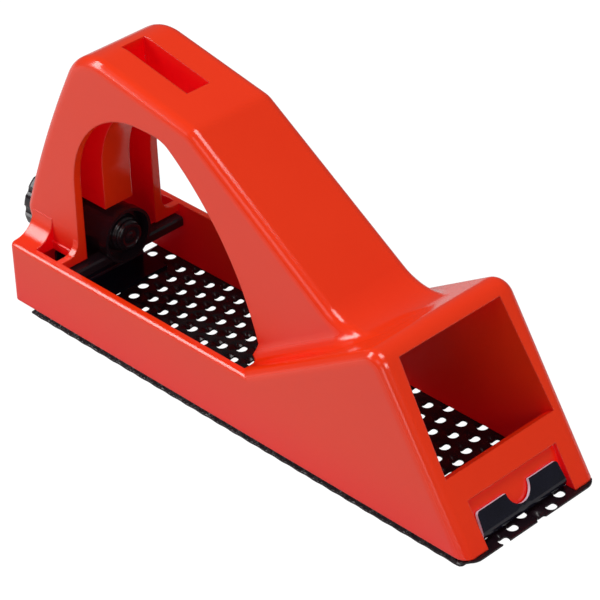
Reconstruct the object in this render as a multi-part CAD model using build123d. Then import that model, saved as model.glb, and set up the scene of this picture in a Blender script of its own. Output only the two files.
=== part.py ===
from build123d import *
from math import cos, pi, radians, sin, tan
import os

# Pocket rasp plane: a moulded loop-handled body that holds a perforated rasp blade under tension.
# Millimetres, +Z up, +X towards the nose. The tool stands on the tips of its rasp teeth at z = 0.
# Every piece is drawn in one frame, with the back face of the body near x = 0, then moved so that
# the origin is the middle of the whole object's footprint.

# ---- body: rails and nose -------------------------------------------------------------------
BODY_BACK = -1.3
NOSE_FRONT = 154.8         # the lowest front edge
BODY_WIDTH = 44.0
RAIL_TOP = 19.0
WALL = 2.5
RAIL_WALL = 2.4
NOSE_WALL = 2.8
RAMP_START = 82.5
RAMP_ANGLE = 31.4
FACE_LEAN = 31.8          # from the vertical
NOSE_ROUND = 3.0
APEX_ROUND = 5.0
RAIL_ROUND = 1.2
REAR_CORNER_ROUND = 2.0

# ---- body: loop handle ----------------------------------------------------------------------
HANDLE_WIDTH = 28.0       # at the rails
HANDLE_DRAFT = 0.8        # degrees each side
HANDLE_TOP = 78.6         # where the back of the leg would meet the top
HANDLE_TOP_X = 20.6
LEG_BACK_VIA = (3.4, 44.0)
LEG_HEEL = (-3.9, 25.0)    # overhangs the back wall, over the knob
HEEL_ROUND = 4.0
KINK = (60.4, 70.8)
SLOPE_ANGLE = 33.8
TOP_BACK_ROUND = 13.0
KINK_ROUND = 6.0
VALLEY_ROUND = 15.0
HANDLE_ROUND = 3.0
SLOPE_END = 118.0
FOOT_FLARE = 3.6
REAR_FLARE = 6.4           # behind the leg, out to the corners of the rails
OPENING_BACK = 16.8
OPENING_TOP = 65.0
OPENING_TOP_FRONT = 50.5
OPENING_VIA = (70.2, 45.6)
OPENING_FRONT = (81.4, 22.5)
OPENING_BACK_ROUND = 26.0
OPENING_FRONT_ROUND = 9.0
LEG_WALL = 2.5
CHANNEL_TOP = 60.0
COLUMN_WIDTH = 9.0
COLUMN_BOTTOM = 28.0
FOOT_UNDER = 16.8
FOOT_WEB_BACK = 14.8
REAR_DECK = 7.0
POCKET_GAP = 0.3
FLARE_SETBACK = 0.8
SLOT = (26.6, 49.4)
SLOT_WIDTH = 7.2
SLOT_FLOOR = 66.8

# ---- body: nose openings --------------------------------------------------------------------
WINDOW_WIDTH = 32.8        # at its top
WINDOW_LOW, WINDOW_HIGH = 18.1, 42.9
CORE_DRAFT = 3.5           # degrees each side, of the space inside the nose
RECESS_WIDTH = 29.4
RECESS_HIGH = 12.0
RECESS_DEPTH = 2.2         # at the bottom
RECESS_TOP_DEPTH = 1.2
RECESS_BACKING = 2.6
TONGUE_HEADROOM = 1.5

# ---- blade and its hook plates --------------------------------------------------------------
TOOTH_DROP = 1.3
SHEET = 0.8
SEAT_GAP = 0.1            # between the sheet and the body's rails
BLADE_REAR, BLADE_FRONT = 6.6, 155.8
BLADE_WIDTH = 43.6
BLADE_CORNER = 4.0
ROW_PITCH = 5.46
ROW_START = 9.2
ROW_SKEW = 20.0           # degrees from straight across
HOLE_PITCH = 4.7          # across the blade
HOLE_PHASE = 1.74
HOLE_RADIUS = 1.0
HOLE_POINT = 2.0          # from the round end's centre to the point
TOOTH_LENGTH = 2.2
TOOTH_WIDTH = 2.0
EDGE_MARGIN = 0.3
HOOK_WIDTH = 28.2
HOOK_SHEET = 0.8
HOOK_BEND = 1.2           # inside radius
HOOK_FLAT = 7.0
HOOK_EDGE = 8.9
LIP_INSET = 0.5           # behind the nose face
HOOK_NOTCH = 4.0
NOTCH_Z = 8.9
UPRIGHT_X = 7.0
UPRIGHT_TOP = 16.2
UPRIGHT_FLAT_END = 17.0
UPRIGHT_BEND = 0.8
UPRIGHT_NOTCH = 5.6

# ---- tensioner ------------------------------------------------------------------------------
SCREW_Z = 19.5
SCREW_RADIUS = 5.0
THREAD_CLEARANCE = 0.06
SCREW_TIP = 20.6
SCREW_CHAMFER = 0.8
BORE_RADIUS = 5.2
BAR_BACK, BAR_FRONT = 14.9, 19.0
BAR_LOW, BAR_HIGH = 13.2, 16.1
BAR_WIDTH = 37.6
BAR_CHAMFER = 0.5
BOSS_RADIUS = 7.5
BOSS_BACK = 8.0
BOSS_FRONT = 19.6
CUP_RIM = 0.8
CUP_DEPTH = 2.8
CUP_FLOOR_RADIUS = 5.9
KNOB_RADIUS = 10.2
KNOB_FRONT, KNOB_BACK = -4.0, -9.8
KNOB_LOBES = 12
KNOB_SCALLOP = 1.7
SCALLOP_OFFSET = 0.35      # of its radius, outside the knob
KNOB_SKIRT = 1.4
KNOB_ROUND = 1.2
THRUST_PAD_RADIUS = 8.0
THRUST_PAD = -3.8
SOCKET_DEPTH = 4.4
HEX_ACROSS = 7.0
SOCKET_GAP = 0.05

SHEET_LOW = TOOTH_DROP
SHEET_HIGH = TOOTH_DROP + SHEET
BASE = SHEET_HIGH + SEAT_GAP
ORIGIN_X = (BLADE_FRONT + KNOB_BACK) / 2
HALF_WIDTH = BODY_WIDTH / 2


def box(x, y, z):
    """A box from three (low, high) pairs."""
    size = [high - low for low, high in (x, y, z)]
    middle = [(high + low) / 2 for low, high in (x, y, z)]
    return Pos(*middle) * Box(*size)


def both_sides(x, y, z):
    """A box and its mirror image across the middle of the tool."""
    return box(x, y, z) + box(x, (-y[1], -y[0]), z)


def slab(face, width):
    """A side outline, drawn in X and Z, given a width centred on the middle of the tool."""
    return extrude(Plane.XZ * face, width / 2, both=True)


def corner(face, x, z):
    """The vertex of a flat outline nearest to a point."""
    return min(face.vertices(), key=lambda v: (v.X - x) ** 2 + (v.Y - z) ** 2)


def cylinder_along_x(radius, low, high, z=SCREW_Z):
    return Pos((low + high) / 2, 0, z) * Rot(0, 90, 0) * Cylinder(radius, high - low)


# ---- outlines of the body, in X and Z ---------------------------------------------------------
def face_x(z, inset=0.0):
    """X of the sloping nose face at a height, or of a plane set back from it."""
    lean = radians(FACE_LEAN)
    return NOSE_FRONT - (z - BASE) * tan(lean) - inset / cos(lean)


def ramp_z(x, inset=0.0):
    """Height of the ramp on top of the nose, or of a plane set below it."""
    slope = radians(RAMP_ANGLE)
    return RAIL_TOP + (x - RAMP_START) * tan(slope) - inset / cos(slope)


def ramp_meets_face(inset):
    """Where the ramp and the nose face cross, each set in by the wall."""
    start = face_x(RAIL_TOP, inset)
    run = tan(radians(FACE_LEAN))
    rise = tan(radians(RAMP_ANGLE))
    x = (start + run * (RAIL_TOP - ramp_z(0, inset))) / (1 + run * rise)
    return x, ramp_z(x, inset)


def slope_z(x):
    """Height of the steep front of the handle."""
    return KINK[1] - (x - KINK[0]) * tan(radians(SLOPE_ANGLE))


def base_outline():
    apex = ramp_meets_face(0)
    points = [(BODY_BACK, BASE), (BODY_BACK, RAIL_TOP), (RAMP_START, RAIL_TOP), apex,
              (NOSE_FRONT, BASE)]
    face = Polygon(*points, align=None)
    return fillet(corner(face, *apex), APEX_ROUND)


def handle_outline():
    ramp_rise = tan(radians(RAMP_ANGLE))
    valley_x = (slope_z(0) - ramp_z(0)) / (ramp_rise + tan(radians(SLOPE_ANGLE)))
    landing_x = valley_x + VALLEY_ROUND / 2 + 3
    top = (HANDLE_TOP_X, HANDLE_TOP)
    low = RAIL_TOP - WALL
    inner = (landing_x - 4, low)
    edges = [
        ThreePointArc(LEG_HEEL, LEG_BACK_VIA, top),
        Polyline(top, KINK, (valley_x, ramp_z(valley_x)), (landing_x, ramp_z(landing_x)), inner),
        Polyline(inner, (BODY_BACK, low), LEG_HEEL),
    ]
    face = make_face(Curve() + edges)
    face = fillet(corner(face, *LEG_HEEL), HEEL_ROUND)
    face = fillet(corner(face, *top), TOP_BACK_ROUND)
    face = fillet(corner(face, *KINK), KINK_ROUND)
    return fillet(corner(face, valley_x, ramp_z(valley_x)), VALLEY_ROUND)


def opening_outline():
    """The loop that the hand goes through."""
    low_back = (OPENING_BACK, RAIL_TOP)
    high_back = (OPENING_BACK, OPENING_TOP)
    high_front = (OPENING_TOP_FRONT, OPENING_TOP)
    low_front = (OPENING_FRONT[0] - 1.4, RAIL_TOP)
    edges = [
        Polyline(low_back, high_back, high_front),
        ThreePointArc(high_front, OPENING_VIA, OPENING_FRONT),
        Polyline(OPENING_FRONT, low_front, low_back),
    ]
    face = make_face(Curve() + edges)
    face = fillet(corner(face, *high_back), OPENING_BACK_ROUND)
    return fillet(corner(face, *high_front), OPENING_FRONT_ROUND)


def nose_cavity_outline():
    peak = ramp_meets_face(NOSE_WALL)
    jog = RECESS_HIGH + 3
    deep = RECESS_DEPTH + RECESS_BACKING
    start = RAMP_START - 4
    points = [(start, 0), (start, ramp_z(RAMP_START, NOSE_WALL)),
              (RAMP_START, ramp_z(RAMP_START, NOSE_WALL)), peak,
              (face_x(jog, NOSE_WALL), jog), (face_x(jog, deep), jog), (face_x(0, deep), 0)]
    return fillet(corner(Polygon(*points, align=None), *peak), 1.5)


# ---- body -------------------------------------------------------------------------------------
def base_block():
    block = slab(base_outline(), BODY_WIDTH)
    sides = [e for e in block.edges() if abs(abs(e.center().Y) - HALF_WIDTH) < 0.01]
    nose = [e for e in sides if e.center().Z > RAIL_TOP + 0.1
            or (e.center().X > RAMP_START + 40 and e.center().Z > BASE + 0.1)]
    block = fillet(nose, NOSE_ROUND)
    upright = [e for e in block.edges().filter_by(Axis.Z) if e.center().X < 0]
    return fillet(upright, REAR_CORNER_ROUND)


def handle_block():
    low = RAIL_TOP - WALL
    foot = HANDLE_WIDTH / 2
    top = foot - (HANDLE_TOP - low) * tan(radians(HANDLE_DRAFT))
    section = Polygon((-foot, low), (foot, low), (top, HANDLE_TOP), (-top, HANDLE_TOP), align=None)
    beam = extrude(Plane.YZ * section, NOSE_FRONT, both=True)
    block = slab(handle_outline(), BODY_WIDTH) & beam
    rim = [e for e in block.edges() if abs(e.center().Y) > foot - 3 and e.center().Z > low + 0.1
           and e.center().X < SLOPE_END]
    return fillet(rim, HANDLE_ROUND)


def flare(back, front, radius):
    """A concave flare on each side of the leg, from one X to another."""
    foot = HANDLE_WIDTH / 2
    reach = foot + radius
    high = RAIL_TOP + radius
    block = both_sides((back, front), (foot - 1, reach), (RAIL_TOP - 1, high))
    scoop = Pos(0, reach, high) * Rot(0, 90, 0) * Cylinder(radius, NOSE_FRONT)
    return block - scoop - scoop.mirror(Plane.XZ)


def foot_flares():
    """Concave flares between the leg's side walls and the rails, at the back and at its feet."""
    behind = flare(BODY_BACK + FLARE_SETBACK, REAR_DECK, REAR_FLARE)
    return behind + flare(FOOT_WEB_BACK, OPENING_BACK + 1, FOOT_FLARE)


def outer_block():
    """Rails, nose and handle as one solid, with flares where the handle stands on them."""
    block = base_block() + handle_block()
    foot = HANDLE_WIDTH / 2
    on_ramp = [e for e in block.edges() if abs(abs(e.center().Y) - foot) < 1.2
               and abs(e.center().Z - ramp_z(e.center().X)) < 0.3
               and e.length > WALL and e.center().Z > RAIL_TOP + 1]
    block = fillet(on_ramp, FOOT_FLARE)
    rails = [e for e in block.edges() if abs(abs(e.center().Y) - HALF_WIDTH) < 0.01
             and abs(e.center().Z - RAIL_TOP) < 0.01]
    return fillet(rails, RAIL_ROUND) + foot_flares()


def under_cavity():
    """The space inside the rails, with the leg's feet left standing above the bar."""
    inner = HALF_WIDTH - RAIL_WALL
    rails = (-inner, inner)
    top = RAIL_TOP + 0.1
    inside = BODY_BACK + WALL
    low = box((inside, RAMP_START), rails, (0, FOOT_UNDER))
    middle = box((OPENING_BACK, RAMP_START), rails, (0, top))
    foot = HANDLE_WIDTH / 2 + POCKET_GAP
    pockets = both_sides((REAR_DECK, FOOT_WEB_BACK), (foot, inner), (0, RAIL_TOP + FOOT_FLARE))
    hollow = HANDLE_WIDTH / 2 - LEG_WALL
    inside_leg = box((inside, OPENING_BACK + 1), (-hollow, hollow), (0, RAIL_TOP + WALL))
    return low + middle + pockets + inside_leg


def nose_core():
    """The drafted space that the inside of the nose and its window share."""
    high = WINDOW_HIGH + NOSE_WALL
    narrow = WINDOW_WIDTH / 2 - NOSE_WALL * tan(radians(CORE_DRAFT))
    wide = narrow + high * tan(radians(CORE_DRAFT))
    section = Polygon((-wide, 0), (wide, 0), (narrow, high), (-narrow, high), align=None)
    return extrude(Plane.YZ * section, NOSE_FRONT, both=True)


def nose_cavity():
    return slab(nose_cavity_outline(), BODY_WIDTH) & nose_core()


def front_leg_cavity():
    wall = NOSE_WALL
    shell = offset(handle_outline(), -wall) - offset(opening_outline(), wall)
    front = shell & Polygon((KINK[0], 0), (SLOPE_END, 0), (SLOPE_END, KINK[1]), (KINK[0], KINK[1]),
                            align=None)
    return slab(front, HANDLE_WIDTH - 2 * LEG_WALL - 1)


def rear_leg_channels():
    """The hollow of the rear leg, open to the front, with a column down its middle."""
    skin = offset(handle_outline(), -WALL)
    reach = OPENING_BACK + OPENING_BACK_ROUND
    hollow = slab(skin, HANDLE_WIDTH - 2 * LEG_WALL) & box(
        (LEG_HEEL[0], reach), (-HALF_WIDTH, HALF_WIDTH), (0, CHANNEL_TOP))
    column = box((LEG_HEEL[0], reach), (-COLUMN_WIDTH / 2, COLUMN_WIDTH / 2),
                 (COLUMN_BOTTOM, CHANNEL_TOP))
    return hollow - column


def window():
    lean = radians(FACE_LEAN)
    middle = (WINDOW_LOW + WINDOW_HIGH) / 2
    height = (WINDOW_HIGH - WINDOW_LOW) / cos(lean)
    plane = Plane((face_x(middle), 0, middle), x_dir=(0, 1, 0), z_dir=(cos(lean), 0, sin(lean)))
    outline = plane * Rectangle(BODY_WIDTH, height)
    return extrude(outline, RECESS_DEPTH + NOSE_WALL, both=True) & nose_core()


def hook_recess():
    """The recess for the front hook in the nose face, shallower towards its top."""
    depth = RECESS_DEPTH
    points = [(face_x(0, depth), 0), (face_x(RECESS_HIGH, RECESS_TOP_DEPTH), RECESS_HIGH),
              (face_x(RECESS_HIGH) + depth, RECESS_HIGH + depth / 2), (NOSE_FRONT + depth, 0)]
    return slab(Polygon(*points, align=None), RECESS_WIDTH)


def body():
    solid = outer_block()
    solid -= slab(opening_outline(), BODY_WIDTH + 2)
    solid -= under_cavity()
    solid -= nose_cavity()
    solid -= front_leg_cavity()
    solid -= rear_leg_channels()
    solid -= window()
    solid -= hook_recess()
    tongue = SHEET_HIGH + HOOK_SHEET + TONGUE_HEADROOM
    solid -= box((RAMP_START, NOSE_FRONT + 1), (-RECESS_WIDTH / 2, RECESS_WIDTH / 2), (0, tongue))
    solid -= box(SLOT, (-SLOT_WIDTH / 2, SLOT_WIDTH / 2), (SLOT_FLOOR, HANDLE_TOP + 2))
    solid += cylinder_along_x(THRUST_PAD_RADIUS, THRUST_PAD, BODY_BACK + WALL)
    solid -= cylinder_along_x(BORE_RADIUS, LEG_HEEL[0] - 1, BODY_BACK + WALL + FOOT_FLARE)
    return solid


# ---- blade ------------------------------------------------------------------------------------
def tooth_places():
    """Centres of the holes: skewed rows, with every second row shifted by half a pitch."""
    lean = tan(radians(ROW_SKEW))
    edge = BLADE_WIDTH / 2 - TOOTH_WIDTH / 2 - EDGE_MARGIN
    places = []
    for row in range(round(BLADE_FRONT / ROW_PITCH)):
        phase = HOLE_PHASE + (row % 2) * HOLE_PITCH / 2
        for step in range(-6, 6):
            y = phase + step * HOLE_PITCH
            x = ROW_START + (row - 1) * ROW_PITCH - y * lean
            if abs(y) < edge and x > BLADE_REAR + TOOTH_LENGTH + 2 * HOLE_RADIUS:
                places.append((x, y))
    return places


def in_front_corner(x, y):
    """Whether a hole would break out through one of the rounded front corners."""
    near_end = x > BLADE_FRONT - BLADE_CORNER - HOLE_RADIUS
    return near_end and abs(y) > BLADE_WIDTH / 2 - BLADE_CORNER - HOLE_RADIUS


def blade():
    length = BLADE_FRONT - BLADE_REAR
    sheet = Pos((BLADE_FRONT + BLADE_REAR) / 2, 0) * Rectangle(length, BLADE_WIDTH)
    ends = [v for v in sheet.vertices() if v.X > BLADE_FRONT - 1]
    sheet = fillet(ends, BLADE_CORNER)
    drop = Circle(HOLE_RADIUS) + Polygon((-HOLE_RADIUS * 0.94, -HOLE_RADIUS * 0.35), (0, -HOLE_POINT),
                                         (HOLE_RADIUS * 0.94, -HOLE_RADIUS * 0.35), align=None)
    holes = [(x, y) for x, y in tooth_places()
             if x < BLADE_FRONT + HOLE_RADIUS / 2 and not in_front_corner(x, y)]
    sheet -= [Pos(x, y) * drop for x, y in holes]
    plate = extrude(Pos(0, 0, SHEET_LOW) * sheet, SHEET)
    root = SHEET_LOW + SHEET / 4
    wedge = Polygon((-HOLE_RADIUS - TOOTH_LENGTH, root), (-HOLE_RADIUS, 0), (-HOLE_RADIUS, root),
                    align=None)
    tooth = slab(wedge, TOOTH_WIDTH)
    return plate + [Pos(x, y, 0) * tooth for x, y in holes if x < BLADE_FRONT - HOLE_RADIUS]


def bent_strip(points, bend, thickness, width):
    """Sheet metal of one bend: its middle line given a thickness and a width."""
    line = FilletPolyline(*points, radius=bend + thickness / 2)
    return slab(trace(line, thickness), width)


def front_hook_plate():
    middle = SHEET_HIGH + HOOK_SHEET / 2
    inset = LIP_INSET + HOOK_SHEET / 2
    corner_x = face_x(middle, inset)
    points = [(corner_x - HOOK_FLAT - HOOK_BEND, middle), (corner_x, middle),
              (face_x(HOOK_EDGE, inset), HOOK_EDGE)]
    plate = bent_strip(points, HOOK_BEND, HOOK_SHEET, HOOK_WIDTH)
    return plate - cylinder_along_x(HOOK_NOTCH, corner_x - HOOK_FLAT, NOSE_FRONT, NOTCH_Z)


def rear_hook_plate():
    middle = SHEET_HIGH + HOOK_SHEET / 2
    back = UPRIGHT_X + HOOK_SHEET / 2
    points = [(UPRIGHT_FLAT_END, middle), (back, middle), (back, UPRIGHT_TOP)]
    plate = bent_strip(points, UPRIGHT_BEND, HOOK_SHEET, HOOK_WIDTH)
    return plate - cylinder_along_x(UPRIGHT_NOTCH, UPRIGHT_X - 1, BOSS_BACK)


# ---- tensioner ----------------------------------------------------------------------------------
def tension_bar():
    bar = box((BAR_BACK, BAR_FRONT), (-BAR_WIDTH / 2, BAR_WIDTH / 2), (BAR_LOW, BAR_HIGH))
    bar = chamfer(bar.edges().filter_by(Axis.Y), BAR_CHAMFER)
    bar += cylinder_along_x(BOSS_RADIUS - CUP_RIM / 2, BOSS_BACK, BOSS_FRONT)
    bar += cylinder_along_x(BOSS_RADIUS, BOSS_FRONT - CUP_DEPTH, BOSS_FRONT)
    cup = Pos(BOSS_FRONT - CUP_DEPTH / 2, 0, SCREW_Z) * Rot(0, 90, 0) * Cone(
        CUP_FLOOR_RADIUS, BOSS_RADIUS - CUP_RIM, CUP_DEPTH)
    return bar - cup - cylinder_along_x(SCREW_RADIUS + THREAD_CLEARANCE, 0, BAR_FRONT + CUP_DEPTH)


def tension_screw():
    shaft = cylinder_along_x(SCREW_RADIUS, KNOB_FRONT, SCREW_TIP)
    shaft = chamfer(shaft.edges().sort_by(Axis.X)[-1], SCREW_CHAMFER)
    drive = extrude(Plane((KNOB_FRONT, 0, SCREW_Z), z_dir=(-1, 0, 0))
                    * RegularPolygon(HEX_ACROSS / 2, 6, major_radius=False), SOCKET_DEPTH)
    return shaft + drive


def adjusting_knob():
    knob = cylinder_along_x(KNOB_RADIUS, KNOB_BACK, KNOB_FRONT)
    knob = fillet(knob.edges().sort_by(Axis.X)[0], KNOB_ROUND)
    for lobe in range(KNOB_LOBES):
        turn = 2 * pi * lobe / KNOB_LOBES
        reach = KNOB_RADIUS + KNOB_SCALLOP * SCALLOP_OFFSET
        scallop = cylinder_along_x(KNOB_SCALLOP, KNOB_BACK - 1, KNOB_FRONT - KNOB_SKIRT)
        knob -= Pos(0, reach * sin(turn), reach * cos(turn)) * scallop
    socket = extrude(Plane((KNOB_FRONT, 0, SCREW_Z), z_dir=(-1, 0, 0))
                     * RegularPolygon(HEX_ACROSS / 2 + SOCKET_GAP, 6, major_radius=False),
                     SOCKET_DEPTH + SOCKET_GAP)
    return knob - socket


NODES = {
    "body": body,
    "rasp_blade": blade,
    "front_hook_plate": front_hook_plate,
    "rear_hook_plate": rear_hook_plate,
    "tension_bar": tension_bar,
    "tension_screw": tension_screw,
    "adjusting_knob": adjusting_knob,
}

os.makedirs("parts", exist_ok=True)
for name, make in NODES.items():
    export_step(Pos(-ORIGIN_X, 0, 0) * make(), f"parts/{name}.step")
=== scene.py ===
import math
import bpy
from mathutils import Matrix, Vector, kdtree
from mathutils.geometry import delaunay_2d_cdt


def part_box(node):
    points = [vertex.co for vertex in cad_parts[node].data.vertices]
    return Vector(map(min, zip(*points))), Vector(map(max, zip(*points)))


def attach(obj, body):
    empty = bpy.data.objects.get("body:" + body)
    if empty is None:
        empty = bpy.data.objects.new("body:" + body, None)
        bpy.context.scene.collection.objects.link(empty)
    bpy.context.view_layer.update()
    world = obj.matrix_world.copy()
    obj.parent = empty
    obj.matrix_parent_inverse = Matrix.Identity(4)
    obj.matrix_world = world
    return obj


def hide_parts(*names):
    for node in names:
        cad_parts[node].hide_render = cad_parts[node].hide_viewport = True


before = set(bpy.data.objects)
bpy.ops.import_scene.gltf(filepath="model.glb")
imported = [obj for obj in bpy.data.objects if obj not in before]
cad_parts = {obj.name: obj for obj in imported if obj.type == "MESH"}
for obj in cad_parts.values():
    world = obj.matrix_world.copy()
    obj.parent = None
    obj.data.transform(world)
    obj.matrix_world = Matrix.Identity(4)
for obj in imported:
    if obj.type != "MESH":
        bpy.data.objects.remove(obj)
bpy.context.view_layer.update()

# Sizes are in millimetres in this file's own units, and MM turns them into metres.
MM = 0.001

# ---- blade: skewed rows of holes, each with a tongue pressed down behind it -------------------
SHEET_THICK = 0.5
ROW_PITCH = 5.46
HOLE_PITCH = 4.7
ROW_SKEW = math.radians(20)
FIRST_ROW = 2.8            # row 1 on the middle line, ahead of the solid's rear end
HOLE_PHASE = 1.95
HOLE_LONG = 1.4            # half the hole's length, along the tool
HOLE_WIDE = 1.5            # half its width, across the tool
TONGUE = 2.3               # how far the pressed dish runs back from the hole
TONGUE_WIDE = 1.3
TONGUE_SHIFT = 0.2         # the dish lies a little to the far side of its hole
TONGUE_DROP = 0.7
RIM_WIDE = 0.9             # the long edges of the sheet are rolled down
RIM_DROP = 1.42
RIM_WAVE = 0.09
LAST_PLAIN_ROW = 3         # the rows up to this one are pierced but not pressed
TAIL = 1.2                 # how far the sheet runs on behind its solid
HOLE_SIDES = 22
BLADE_CORNER = 4.0
SPARE_ROWS = 4             # rows past the sheet's length, which the skew brings back onto it
HOLES_ASIDE = 6            # places for holes each side of the middle
REAR_MARGIN = 3.0          # from the sheet's rear end to the nearest hole's centre
FRONT_OVERHANG = 0.5       # how far past the front edge a centre may lie, so the edge cuts the hole
CORNER_MARGIN = 1.0
SIDE_MARGIN = 0.1
HOLE_SHARE = 0.96          # of the ellipse's equation, to stay inside the hole's straight sides
DISH_START = 0.1           # the dish begins this far ahead of the hole's centre
LOOK_AHEAD = 1.0           # from a spot towards the hole whose dish it may lie in
NEAR_HOLES = 3
EDGE_STEPS = 160
CORNER_STEPS = 8
RIM_STEP = 1.3
RIM_LINES = (0.12, 0.3, 0.5, 0.7, 0.9)
DISH_BACK = (0.25, 0.65, 1.1, 1.6, 2.1, 2.5)
DISH_ASIDE = (-1.2, -0.9, -0.6, -0.3, 0, 0.3, 0.6, 0.9, 1.2)

# ---- hook plates ------------------------------------------------------------------------------
HOOK_SHEET = 0.8
FRONT_FLAT = 5.32          # the part that lies on the blade
FRONT_BEND = 1.2           # inside radius
FRONT_TURN = math.radians(121.8)
FRONT_TIP = 4.66           # the straight part beyond the bend
FRONT_NOTCH = 4.0
FRONT_TAPER = 0.7          # how much narrower each side is at the tip
REAR_FLAT = 8.4
REAR_BEND = 0.8
REAR_TURN = math.radians(90)
REAR_TIP = 12.5
REAR_TAPER = 0.0
REAR_NOTCH = 5.6
REAR_NOTCH_DEPTH = 2.3
PLATE_CORNER = 1.0
PLATE_CORNER_STEPS = 5
NOTCH_STEPS = 18
NOTCH_SHARE = 0.998        # of the notch's radius, to stay inside its straight sides
BEND_STEPS = 10
BEND_ACROSS = 12

# ---- screw ------------------------------------------------------------------------------------
THREAD_PITCH = 1.25
THREAD_DEPTH = 0.5
THREAD_TAPER = 1.5         # how much thinner the stud is at its end
TAPER_LONG = 3.9
THREAD_TURN = 64           # points round one turn
THREAD_STEP = 0.14
THREAD_ROOT = 0.18         # share of the pitch that is the flat bottom of the thread
THREAD_FLANK = 0.5
STUD_END = ((2.7, 0.0), (2.5, -0.25), (1.2, -0.3), (1.0, -0.08), (0.4, -0.05))   # radius, reach
DRIVE_HALF = 3.5           # half the hexagon's width across its flats
SIDE_TURN = math.pi / 3    # the angle of one of its six sides

# ---- mesh making ------------------------------------------------------------------------------
WHOLE_HULL = 0             # the triangulation fills the outline's convex hull
WELD = 1e-5                # points nearer than this become one


def ellipse(x, y, long, wide, sides):
    """A closed loop of points round an ellipse."""
    turns = [2 * math.pi * i / sides for i in range(sides)]
    return [(x + long * math.cos(a), y + wide * math.sin(a)) for a in turns]


def arc(x, y, radius, start, end, steps):
    """Points of a circular arc, both ends included. Angles are in degrees."""
    turns = [math.radians(start + (end - start) * i / steps) for i in range(steps + 1)]
    return [(x + radius * math.cos(a), y + radius * math.sin(a)) for a in turns]


def smooth(value):
    """0 below 0, 1 above 1 and an S curve between."""
    value = min(1.0, max(0.0, value))
    return value * value * (3 - 2 * value)


def new_piece(name, verts, faces, sharp_angle=35.0):
    """A mesh object from points in millimetres, smooth except where it turns sharply."""
    mesh = bpy.data.meshes.new(name)
    mesh.from_pydata([Vector(v) * MM for v in verts], [], faces)
    mesh.validate()
    mesh.update()
    mesh.shade_smooth()
    mesh.set_sharp_from_angle(angle=math.radians(sharp_angle))
    piece = bpy.data.objects.new(name, mesh)
    bpy.context.scene.collection.objects.link(piece)
    return piece


def sheet_metal(name, loops, inner, keeps, place):
    """Sheet metal with both faces and its cut edges.

    loops are closed cuts in the flat sheet, inner are more points to bend it at, keeps says whether
    a spot is metal, and place gives a point's place on the upper (True) or lower face.
    The faces of the cut edges come last and use material 1.
    """
    flat = []
    edges = []
    for loop in loops:
        first = len(flat)
        flat += [Vector(p) for p in loop]
        edges += [(first + i, first + (i + 1) % len(loop)) for i in range(len(loop))]
    flat += [Vector(p) for p in inner]
    points, _, triangles, _, _, _ = delaunay_2d_cdt(flat, edges, [], WHOLE_HULL, WELD)
    kept = []
    for a, b, c in triangles:
        middle = (points[a] + points[b] + points[c]) / 3
        if keeps(middle.x, middle.y):
            kept.append((a, b, c))
    used = sorted({i for t in kept for i in t})
    upper = {old: new for new, old in enumerate(used)}
    lower = {old: new + len(used) for new, old in enumerate(used)}
    verts = [place(points[i].x, points[i].y, True) for i in used]
    verts += [place(points[i].x, points[i].y, False) for i in used]
    faces = [tuple(upper[i] for i in t) for t in kept]
    faces += [tuple(lower[i] for i in reversed(t)) for t in kept]
    sides = {(t[i], t[(i + 1) % 3]) for t in kept for i in range(3)}
    cut = [(a, b) for a, b in sorted(sides) if (b, a) not in sides]
    faces += [(upper[b], upper[a], lower[a], lower[b]) for a, b in cut]
    piece = new_piece(name, verts, faces)
    for face in piece.data.polygons[-len(cut):]:
        face.material_index = 1
    return piece


# ---- rasp blade -------------------------------------------------------------------------------
blade_low, blade_high = (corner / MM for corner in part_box("rasp_blade"))
sheet_rear = blade_low.x - TAIL


def hole_places():
    """Centres of the holes with whether each is pressed."""
    lean = math.tan(ROW_SKEW)
    places = []
    rows = round((blade_high.x - blade_low.x) / ROW_PITCH) + SPARE_ROWS
    for row in range(rows):
        phase = HOLE_PHASE + (row % 2) * HOLE_PITCH / 2
        for step in range(-HOLES_ASIDE, HOLES_ASIDE):
            y = phase + step * HOLE_PITCH
            x = blade_low.x + FIRST_ROW + (row - 1) * ROW_PITCH - y * lean
            inside = sheet_rear + REAR_MARGIN < x < blade_high.x + FRONT_OVERHANG
            short_of_corner = x < blade_high.x - BLADE_CORNER - CORNER_MARGIN
            between_corners = abs(y) < blade_high.y - BLADE_CORNER - CORNER_MARGIN
            off_the_side = abs(y) < blade_high.y - HOLE_WIDE - SIDE_MARGIN
            if inside and off_the_side and (short_of_corner or between_corners):
                places.append((x, y, row > LAST_PLAIN_ROW))
    return places


holes = hole_places()
nearest = kdtree.KDTree(len(holes))
for number, (hole_x, hole_y, _) in enumerate(holes):
    nearest.insert((hole_x, hole_y, 0), number)
nearest.balance()


def in_hole(x, y):
    """Whether a spot lies in a hole."""
    _, number, _ = nearest.find((x, y, 0))
    hx, hy, _ = holes[number]
    return ((x - hx) / HOLE_LONG) ** 2 + ((y - hy) / HOLE_WIDE) ** 2 < HOLE_SHARE


def tooth_drop(x, y):
    """How far the sheet is pressed down here, from 0 to 1."""
    deepest = 0.0
    for _, number, _ in nearest.find_n((x + LOOK_AHEAD, y, 0), NEAR_HOLES):
        hx, hy, pressed = holes[number]
        if not pressed:
            continue
        back = hx - x
        rise = smooth((back + DISH_START) / HOLE_LONG)
        fall = 1 - smooth((back - HOLE_LONG) / TONGUE)
        across = max(0.0, 1 - ((y - hy - TONGUE_SHIFT) / TONGUE_WIDE) ** 2)
        deepest = max(deepest, rise * fall * across * across)
    return deepest


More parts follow.
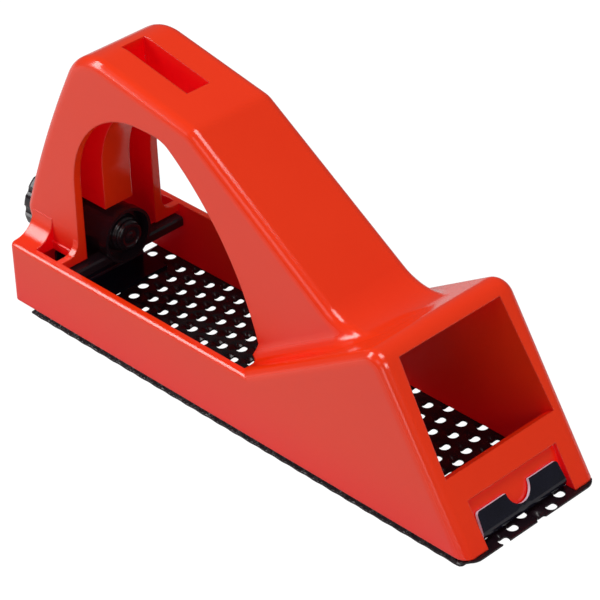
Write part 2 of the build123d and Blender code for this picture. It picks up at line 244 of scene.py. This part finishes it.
def on_blade(x, y):
    """Whether a spot lies inside the blade's outline, front corners rounded."""
    if not (sheet_rear < x < blade_high.x and blade_low.y < y < blade_high.y):
        return False
    ahead = x - (blade_high.x - BLADE_CORNER)
    aside = abs(y) - (blade_high.y - BLADE_CORNER)
    return not (ahead > 0 and aside > 0 and ahead * ahead + aside * aside > BLADE_CORNER ** 2)


def blade_outline():
    """The sheet's edge, square at the rear and with rounded front corners."""
    front = blade_high.x - BLADE_CORNER
    side = blade_high.y - BLADE_CORNER
    run = [sheet_rear + (front - sheet_rear) * i / EDGE_STEPS for i in range(EDGE_STEPS)]
    near_edge = [(x, -blade_high.y) for x in run]
    near_corner = arc(front, -side, BLADE_CORNER, -90, 0, CORNER_STEPS)
    far_corner = arc(front, side, BLADE_CORNER, 0, 90, CORNER_STEPS)
    far_edge = [(x, blade_high.y) for x in reversed(run)]
    return near_edge + near_corner + far_corner + far_edge


def rim_drop(x, y):
    """How far the rolled long edges of the sheet lie below its face."""
    share = smooth((abs(y) - blade_high.y + RIM_WIDE) / RIM_WIDE)
    return share * (RIM_DROP + RIM_WAVE * math.sin(2 * math.pi * x / ROW_PITCH))


def blade_place(x, y, upper):
    """Where a spot of the flat sheet ends up on its upper or lower face."""
    drop = max(tooth_drop(x, y) * TONGUE_DROP, rim_drop(x, y))
    return (x, y, blade_high.z - drop - (0 if upper else SHEET_THICK))


def rim_points():
    """Points that shape the rolled edges."""
    points = []
    steps = int((blade_high.x - BLADE_CORNER - sheet_rear) / RIM_STEP)
    for i in range(1, steps):
        x = sheet_rear + RIM_STEP * i
        for inward in RIM_LINES:
            points += [(x, blade_high.y - inward), (x, inward - blade_high.y)]
    return points


def dish_points():
    """Points that shape the pressed dish behind each hole."""
    points = []
    for x, y, pressed in holes:
        for back in DISH_BACK:
            for aside in DISH_ASIDE:
                spot = (x - HOLE_LONG - back, y + TONGUE_SHIFT + aside)
                if pressed and on_blade(*spot) and not in_hole(*spot):
                    points.append(spot)
    return points


def rasp_blade():
    """The perforated sheet with its pressed dishes and rolled long edges."""
    cuts = [ellipse(x, y, HOLE_LONG, HOLE_WIDE, HOLE_SIDES) for x, y, _ in holes]
    return sheet_metal("rasp_sheet", [blade_outline()] + cuts, dish_points() + rim_points(),
                       lambda x, y: on_blade(x, y) and not in_hole(x, y), blade_place)


# ---- screw ------------------------------------------------------------------------------------
def ring_points(x, axis_z, radius_at):
    """One ring of points round the screw's axis. radius_at gives the radius at a share of a turn."""
    points = []
    for step in range(THREAD_TURN):
        share = step / THREAD_TURN
        r = radius_at(share)
        angle = 2 * math.pi * share
        points.append((x, r * math.sin(angle), axis_z + r * math.cos(angle)))
    return points


def ring_faces(first, rings, around):
    """Quads between rings of points that follow each other along the axis."""
    faces = []
    for ring in range(rings):
        a = first + ring * around
        for step in range(around):
            after = (step + 1) % around
            faces.append((a + step, a + around + step, a + around + after, a + after))
    return faces


def thread_radius(x, end_x, radius, share):
    """The stud's radius along its thread, thinner towards its end."""
    wave = abs(((x / THREAD_PITCH + share) % 1.0) * 2 - 1)
    crest = smooth((wave - THREAD_ROOT) / THREAD_FLANK)
    taper = THREAD_TAPER * max(0.0, 1 - (end_x - x) / TAPER_LONG)
    return radius - THREAD_DEPTH * (1 - crest) - taper


def hexagon_radius(share):
    """How far the drive's hexagon reaches from the axis at a share of a turn."""
    from_flat = (2 * math.pi * share + SIDE_TURN / 2) % SIDE_TURN - SIDE_TURN / 2
    return DRIVE_HALF / math.cos(from_flat)


def threaded_screw():
    """The stud with a real helical thread, its dished end, and the hexagon that drives it."""
    low, high = (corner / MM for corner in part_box("tension_screw"))
    axis_z = (low.z + high.z) / 2
    radius = (high.z - low.z) / 2
    knob_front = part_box("adjusting_knob")[1].x / MM
    rings = int((high.x - knob_front) / THREAD_STEP)
    verts = []
    for ring in range(rings + 1):
        x = knob_front + (high.x - knob_front) * ring / rings
        verts += ring_points(x, axis_z, lambda share: thread_radius(x, high.x, radius, share))
    for r, reach in STUD_END:
        verts += ring_points(high.x + reach, axis_z, lambda share: r)
    faces = ring_faces(0, rings + len(STUD_END), THREAD_TURN)
    faces.append(tuple(range(len(verts) - THREAD_TURN, len(verts))))
    first = len(verts)
    verts += ring_points(knob_front, axis_z, hexagon_radius)
    verts += ring_points(low.x, axis_z, hexagon_radius)
    for step in range(THREAD_TURN):
        after = (step + 1) % THREAD_TURN
        faces.append((step, first + step, first + after, after))
        faces.append((first + step, first + THREAD_TURN + step, first + THREAD_TURN + after,
                      first + after))
    faces.append(tuple(reversed(range(first + THREAD_TURN, first + 2 * THREAD_TURN))))
    return new_piece("threaded_screw", verts, faces, sharp_angle=50.0)


# ---- hook plates ------------------------------------------------------------------------------
def bent(length_flat, bend, turn, start_x, base_z, forward):
    """A place function for a strip that lies flat, then bends up, and the length of its bend.

    The strip's own length runs from 0 at its flat end. turn is the angle of the bend, and forward is
    1 if it bends at its front and -1 if at its rear.
    """
    arc_length = turn * (bend + HOOK_SHEET / 2)

    def place(s, y, upper):
        offset = HOOK_SHEET / 2 if upper else -HOOK_SHEET / 2
        centre = bend + HOOK_SHEET / 2
        if s <= length_flat:
            x, z = s, offset
        elif s <= length_flat + arc_length:
            angle = (s - length_flat) / centre
            x = length_flat + (centre - offset) * math.sin(angle)
            z = centre - (centre - offset) * math.cos(angle)
        else:
            rest = s - length_flat - arc_length
            x = length_flat + (centre - offset) * math.sin(turn) + rest * math.cos(turn)
            z = centre - (centre - offset) * math.cos(turn) + rest * math.sin(turn)
        return (start_x + forward * x, forward * y, base_z + HOOK_SHEET / 2 + z)
    return place, arc_length


def rounded_corner(s, y, radius, quadrant):
    """A rounded corner of a strip's end, at (s, y), as points in order round the outline."""
    start = quadrant * 90
    centre_s = s - radius
    centre_y = y - radius if y > 0 else y + radius
    return arc(centre_s, centre_y, radius, start, start + 90, PLATE_CORNER_STEPS)


def hook_plate(name, node, flat, bend, turn, tip, notch, notch_depth, taper, forward):
    """A strip bent up at one end, with a round notch in the middle of the upturned edge."""
    low, high = (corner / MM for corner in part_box(node))
    half = (high.y - low.y) / 2
    start = low.x if forward > 0 else high.x
    place, arc_length = bent(flat, bend, turn, start, low.z, forward)
    length = flat + arc_length + tip
    centre = length + notch - notch_depth
    notch_half_angle = math.degrees(math.acos((notch - notch_depth) / notch))
    outline = [(0, -half)] + rounded_corner(length, -half, PLATE_CORNER, -1)
    outline += arc(centre, 0, notch, 180 + notch_half_angle, 180 - notch_half_angle, NOTCH_STEPS)
    outline += rounded_corner(length, half, PLATE_CORNER, 0) + [(0, half)]

    def place_tapered(s, y, upper):
        return place(s, y * (1 - taper / half * smooth((s - flat) / (length - flat))), upper)

    def keeps(s, y):
        return (s - centre) ** 2 + y * y > (notch * NOTCH_SHARE) ** 2

    stations = [flat + arc_length * i / BEND_STEPS for i in range(BEND_STEPS + 1)]
    across = [-half + 2 * half * k / BEND_ACROSS for k in range(1, BEND_ACROSS)]
    inner = [(s, y) for s in stations for y in across]
    inner += [(s, side) for s in stations for side in (-half, half)]
    inner = [p for p in inner if keeps(*p)]
    return sheet_metal(name, [outline], inner, keeps, place_tapered)


# ---- shared shader effects ----------------------------------------------------------------------
def node_group(name, inputs, outputs):
    """An empty shader group with named sockets. Each socket is (name, kind, default)."""
    group = bpy.data.node_groups.new(name, "ShaderNodeTree")
    for label, kind, default in inputs:
        socket = group.interface.new_socket(name=label, in_out="INPUT", socket_type=kind)
        socket.default_value = default
    for label, kind in outputs:
        group.interface.new_socket(name=label, in_out="OUTPUT", socket_type=kind)
    entry = group.nodes.new("NodeGroupInput")
    leave = group.nodes.new("NodeGroupOutput")
    return group, entry, leave


def add(tree, kind, links=(), **settings):
    """A node with its settings. links are pairs of an input's name or number and its socket or value."""
    node = tree.nodes.new(kind)
    for key, value in settings.items():
        setattr(node, key, value)
    for socket, source in links:
        if isinstance(source, bpy.types.NodeSocket):
            tree.links.new(source, node.inputs[socket])
        else:
            node.inputs[socket].default_value = source
    return node


def moulded_grain_group():
    """Fine pitted texture of a moulded surface with a slow change of gloss over it."""
    group, entry, leave = node_group(
        "moulded_grain",
        [("Grain per metre", "NodeSocketFloat", 2500.0), ("Patch per metre", "NodeSocketFloat", 40.0)],
        [("Height", "NodeSocketFloat"), ("Patch", "NodeSocketFloat")])
    place = add(group, "ShaderNodeTexCoord")
    grain = add(group, "ShaderNodeTexNoise",
                [("Vector", place.outputs["Object"]), ("Scale", entry.outputs[0]), ("Detail", 3.0),
                 ("Roughness", 0.6)])
    patch = add(group, "ShaderNodeTexNoise",
                [("Vector", place.outputs["Object"]), ("Scale", entry.outputs[1]), ("Detail", 2.0)])
    group.links.new(grain.outputs["Fac"], leave.inputs["Height"])
    group.links.new(patch.outputs["Fac"], leave.inputs["Patch"])
    return group


def flank_group():
    """1 on the faces that look sideways, 0 elsewhere."""
    group, entry, leave = node_group("flank_mask", [("Sharpness", "NodeSocketFloat", 6.0)],
                                     [("Mask", "NodeSocketFloat")])
    place = add(group, "ShaderNodeTexCoord")
    split = add(group, "ShaderNodeSeparateXYZ", [(0, place.outputs["Normal"])])
    size = add(group, "ShaderNodeMath", [(0, split.outputs["Y"])], operation="ABSOLUTE")
    mask = add(group, "ShaderNodeMath", [(0, size.outputs[0]), (1, entry.outputs[0])], operation="POWER")
    group.links.new(mask.outputs[0], leave.inputs["Mask"])
    return group


GRAIN = moulded_grain_group()
FLANK = flank_group()


def material(name):
    """A new material with its shader joined to its output."""
    made = bpy.data.materials.new(name)
    made.use_nodes = True
    tree = made.node_tree
    tree.nodes.clear()
    surface = add(tree, "ShaderNodeBsdfPrincipled")
    output = add(tree, "ShaderNodeOutputMaterial")
    tree.links.new(surface.outputs[0], output.inputs["Surface"])
    return made, tree, surface


def use_group(tree, group, **values):
    """A shared effect placed in a material, with its own values."""
    node = tree.nodes.new("ShaderNodeGroup")
    node.node_tree = group
    for key, value in values.items():
        node.inputs[key.replace("_", " ")].default_value = value
    return node


def span(tree, source, low, high):
    """A 0 to 1 value stretched between two values."""
    node = add(tree, "ShaderNodeMapRange", [("Value", source), ("To Min", low), ("To Max", high)])
    return node.outputs[0]


def tint(tree, source, first, second):
    """A colour between two, by a 0 to 1 value."""
    node = add(tree, "ShaderNodeMix", [(0, source)], data_type="RGBA")
    node.inputs[6].default_value = (*first, 1)
    node.inputs[7].default_value = (*second, 1)
    return node.outputs[2]


def bump(tree, height, strength, distance):
    """A normal from a height. distance is in metres."""
    node = add(tree, "ShaderNodeBump", [("Height", height), ("Strength", strength), ("Distance", distance)])
    return node.outputs["Normal"]


def orange_body():
    """Orange-red moulding: glossy on top, with finely spark-textured satin flanks, and painted shade with a
    faint painted red glow in its enclosed hollows.
    """
    made, tree, surface = material("orange_moulding")
    grain = use_group(tree, GRAIN)
    flank = use_group(tree, FLANK)
    lit = tint(tree, grain.outputs["Patch"], (0.80, 0.030, 0.003), (0.84, 0.038, 0.005))
    # Painted shade: where ambient occlusion finds the surface enclosed, the base colour turns from the lit
    # orange-red to a deeper pure red.
    depth = add(tree, "ShaderNodeAmbientOcclusion", [("Distance", 0.03)], samples=6)
    painted_shade_and_glow_mask = add(tree, "ShaderNodeMapRange", [("Value", depth.outputs["AO"]), ("From Min", 0.35),
                                                ("From Max", 0.85)])
    colour = add(tree, "ShaderNodeMix", [(0, painted_shade_and_glow_mask.outputs[0])], data_type="RGBA")
    colour.inputs[6].default_value = (0.80, 0.0, 0.003, 1)
    tree.links.new(lit, colour.inputs[7])
    tree.links.new(colour.outputs[2], surface.inputs["Base Color"])
    # Painted glow: the same enclosed hollows give off a faint red light, though the body is no lamp.
    glow = add(tree, "ShaderNodeMix", [(0, painted_shade_and_glow_mask.outputs[0])], data_type="RGBA")
    glow.inputs[6].default_value = (1, 0, 0.01, 1)
    glow.inputs[7].default_value = (0, 0, 0, 1)
    tree.links.new(glow.outputs[2], surface.inputs["Emission Color"])
    surface.inputs["Emission Strength"].default_value = 0.07
    gloss = add(tree, "ShaderNodeMix", [(0, flank.outputs[0])], data_type="FLOAT")
    tree.links.new(span(tree, grain.outputs["Patch"], 0.11, 0.17), gloss.inputs[2])
    tree.links.new(span(tree, grain.outputs["Patch"], 0.34, 0.42), gloss.inputs[3])
    tree.links.new(gloss.outputs[0], surface.inputs["Roughness"])
    spark = add(tree, "ShaderNodeMath", [(0, grain.outputs["Height"]), (1, flank.outputs[0])],
                operation="MULTIPLY")
    soft = add(tree, "ShaderNodeBevel", [("Radius", 0.0005)], samples=4)
    grained = add(tree, "ShaderNodeBump", [("Height", spark.outputs[0]), ("Strength", 0.35),
                                           ("Distance", 0.00004), ("Normal", soft.outputs[0])])
    tree.links.new(grained.outputs["Normal"], surface.inputs["Normal"])
    surface.inputs["IOR"].default_value = 1.55
    return made


def black_lacquer():
    """Black lacquered spring steel, a little browner and duller in patches."""
    made, tree, surface = material("black_lacquer")
    grain = use_group(tree, GRAIN, Grain_per_metre=1800.0, Patch_per_metre=260.0)
    colour = tint(tree, grain.outputs["Patch"], (0.006, 0.002, 0.004), (0.014, 0.006, 0.009))
    tree.links.new(colour, surface.inputs["Base Color"])
    tree.links.new(span(tree, grain.outputs["Patch"], 0.16, 0.34), surface.inputs["Roughness"])
    tree.links.new(bump(tree, grain.outputs["Height"], 0.2, 0.00003), surface.inputs["Normal"])
    surface.inputs["Specular IOR Level"].default_value = 0.3
    return made


def blued_hook():
    """Black coated hook plates with a cold sheen."""
    made, tree, surface = material("blued_hook")
    grain = use_group(tree, GRAIN, Grain_per_metre=900.0, Patch_per_metre=150.0)
    colour = tint(tree, grain.outputs["Patch"], (0.003, 0.003, 0.007), (0.005, 0.005, 0.014))
    tree.links.new(colour, surface.inputs["Base Color"])
    tree.links.new(span(tree, grain.outputs["Patch"], 0.14, 0.24), surface.inputs["Roughness"])
    tree.links.new(bump(tree, grain.outputs["Height"], 0.12, 0.00003), surface.inputs["Normal"])
    return made


def sheared_edge_highlight():
    """Bare steel where the strip was sheared after coating, made a bright bluish white that is partly the
    steel's own colour and partly a painted highlight.
    """
    made, tree, surface = material("sheared_edge_highlight")
    grain = use_group(tree, GRAIN, Grain_per_metre=3000.0, Patch_per_metre=500.0)
    # Painted highlight: the near-white bluish colour stands in for light reflected off the cut edge.
    colour = tint(tree, grain.outputs["Patch"], (0.62, 0.66, 0.85), (0.85, 0.90, 1.0))
    tree.links.new(colour, surface.inputs["Base Color"])
    tree.links.new(span(tree, grain.outputs["Patch"], 0.25, 0.45), surface.inputs["Roughness"])
    tree.links.new(bump(tree, grain.outputs["Height"], 0.3, 0.00003), surface.inputs["Normal"])
    return made


def black_moulding():
    """Black moulded plastic, half gloss, slightly grained."""
    made, tree, surface = material("black_moulding")
    grain = use_group(tree, GRAIN, Grain_per_metre=1500.0, Patch_per_metre=120.0)
    colour = tint(tree, grain.outputs["Patch"], (0.010, 0.006, 0.009), (0.017, 0.011, 0.015))
    tree.links.new(colour, surface.inputs["Base Color"])
    tree.links.new(span(tree, grain.outputs["Patch"], 0.17, 0.30), surface.inputs["Roughness"])
    tree.links.new(bump(tree, grain.outputs["Height"], 0.25, 0.00005), surface.inputs["Normal"])
    return made


def floor_paint():
    """A pale floor that reads white to the camera and still takes a faint contact shadow."""
    made, tree, surface = material("studio_floor")
    surface.inputs["Base Color"].default_value = (0.64, 0.64, 0.64, 1)
    surface.inputs["Roughness"].default_value = 0.7
    glow = add(tree, "ShaderNodeEmission", [("Color", (1, 1, 1, 1)), ("Strength", 1.15)])
    path = add(tree, "ShaderNodeLightPath")
    share = add(tree, "ShaderNodeMath", [(0, path.outputs["Is Camera Ray"]), (1, 0.86)],
                operation="MULTIPLY")
    mix = add(tree, "ShaderNodeMixShader", [(0, share.outputs[0])])
    tree.links.new(surface.outputs[0], mix.inputs[1])
    tree.links.new(glow.outputs[0], mix.inputs[2])
    output = next(n for n in tree.nodes if n.type == "OUTPUT_MATERIAL")
    tree.links.new(mix.outputs[0], output.inputs["Surface"])
    return made


def dress_node(name, finish):
    """Give a node of the frame a new finish."""
    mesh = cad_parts[name].data
    mesh.materials.clear()
    mesh.materials.append(finish)


def fit(piece, body, node, slot, *finishes):
    """Finish a new piece and put it on its body in place of its node."""
    for finish in finishes:
        piece.data.materials.append(finish)
    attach(piece, body)
    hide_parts(node)


# ---- pieces and their bodies ----------------------------------------------------------------------
steel = black_lacquer()
hook = blued_hook()
bare_edge_highlight = sheared_edge_highlight()
plastic = black_moulding()

dress_node("body", orange_body())
dress_node("tension_bar", plastic)
dress_node("adjusting_knob", plastic)

fit(rasp_blade(), "blade_carriage", "rasp_blade", "blade_steel", steel, steel)
fit(threaded_screw(), "tension_screw", "tension_screw", "black_plastic", plastic)
# Only the front plate's cut edges get the bare steel colour with its painted highlight.
fit(hook_plate("front_hook_strip", "front_hook_plate", FRONT_FLAT, FRONT_BEND, FRONT_TURN, FRONT_TIP,
               FRONT_NOTCH, FRONT_NOTCH, FRONT_TAPER, 1),
    "blade_carriage", "front_hook_plate", "hook_steel", hook, bare_edge_highlight)
fit(hook_plate("rear_hook_strip", "rear_hook_plate", REAR_FLAT, REAR_BEND, REAR_TURN, REAR_TIP,
               REAR_NOTCH, REAR_NOTCH_DEPTH, REAR_TAPER, -1),
    "blade_carriage", "rear_hook_plate", "hook_steel", hook, hook)


# ---- floor, light and camera ------------------------------------------------------------------------
LAMP_AIM = Vector((0, 0, 0.03))   # the point that the soft boxes face, in metres


def floor():
    """A wide flat floor under the tool."""
    mesh = bpy.data.meshes.new("floor")
    half = 3.0
    mesh.from_pydata([(-half, -half, 0), (half, -half, 0), (half, half, 0), (-half, half, 0)], [],
                     [(0, 1, 2, 3)])
    piece = bpy.data.objects.new("floor", mesh)
    bpy.context.scene.collection.objects.link(piece)
    piece.data.materials.append(floor_paint())


def soft_light(name, direction, distance, width, height, power, along=(0, 0, 1)):
    """A soft box that faces the tool from a direction. Its height lies along a given direction."""
    data = bpy.data.lights.new(name, "AREA")
    data.shape = "RECTANGLE"
    data.size = width
    data.size_y = height
    data.energy = power
    lamp = bpy.data.objects.new(name, data)
    bpy.context.scene.collection.objects.link(lamp)
    towards = Vector(direction).normalized()
    lamp.location = towards * distance + LAMP_AIM
    across = Vector(along).cross(towards).normalized()
    turn = Matrix((across, towards.cross(across), towards)).transposed()
    lamp.rotation_mode = "QUATERNION"
    lamp.rotation_quaternion = turn.to_quaternion()


def room_light(strength):
    """Even white light from all round."""
    world = bpy.data.worlds.new("studio")
    world.use_nodes = True
    back = world.node_tree.nodes["Background"]
    back.inputs["Color"].default_value = (1, 1, 1, 1)
    back.inputs["Strength"].default_value = strength
    bpy.context.scene.world = world


def camera():
    """The camera looks down at the nose from the front left of the tool."""
    azimuth, elevation, roll = (math.radians(a) for a in (46.79, 33.27, -2.11))
    aim = Vector((-27.96, 31.95, 0)) * MM
    distance = 696.2 * MM
    back = Vector((math.sin(azimuth) * math.cos(elevation), -math.cos(azimuth) * math.cos(elevation),
                   math.sin(elevation)))
    right = Vector((math.cos(azimuth), math.sin(azimuth), 0))
    up = back.cross(right)
    turned_right = math.cos(roll) * right + math.sin(roll) * up
    turned_up = math.cos(roll) * up - math.sin(roll) * right
    data = bpy.data.cameras.new("camera")
    data.sensor_width = 36.0
    data.lens = 163.2
    data.shift_x = 0.0120
    data.shift_y = -0.0214
    data.clip_start = 0.01
    data.clip_end = 20.0
    lens = bpy.data.objects.new("camera", data)
    bpy.context.scene.collection.objects.link(lens)
    turn = Matrix((turned_right, turned_up, back)).transposed()
    lens.matrix_world = Matrix.Translation(aim + back * distance) @ turn.to_4x4()
    bpy.context.scene.camera = lens


floor()
room_light(0.15)
soft_light("top_box", (0.1, 0.0, 1.0), 0.9, 0.40, 0.40, 3.6)
soft_light("window_strip", (-0.66, -0.46, 0.58), 0.82, 0.22, 0.60, 3.7, (0, 0.72, 0.69))
soft_light("side_box", (0.145, -0.80, 0.59), 0.9, 0.35, 0.30, 0.4)
soft_light("low_box", (0.56, -0.80, 0.18), 0.8, 0.20, 0.22, 0.3)
soft_light("front_box", (0.80, -0.25, 0.55), 0.9, 0.35, 0.30, 2.3)
camera()
bpy.context.scene.view_settings.view_transform = "Standard"
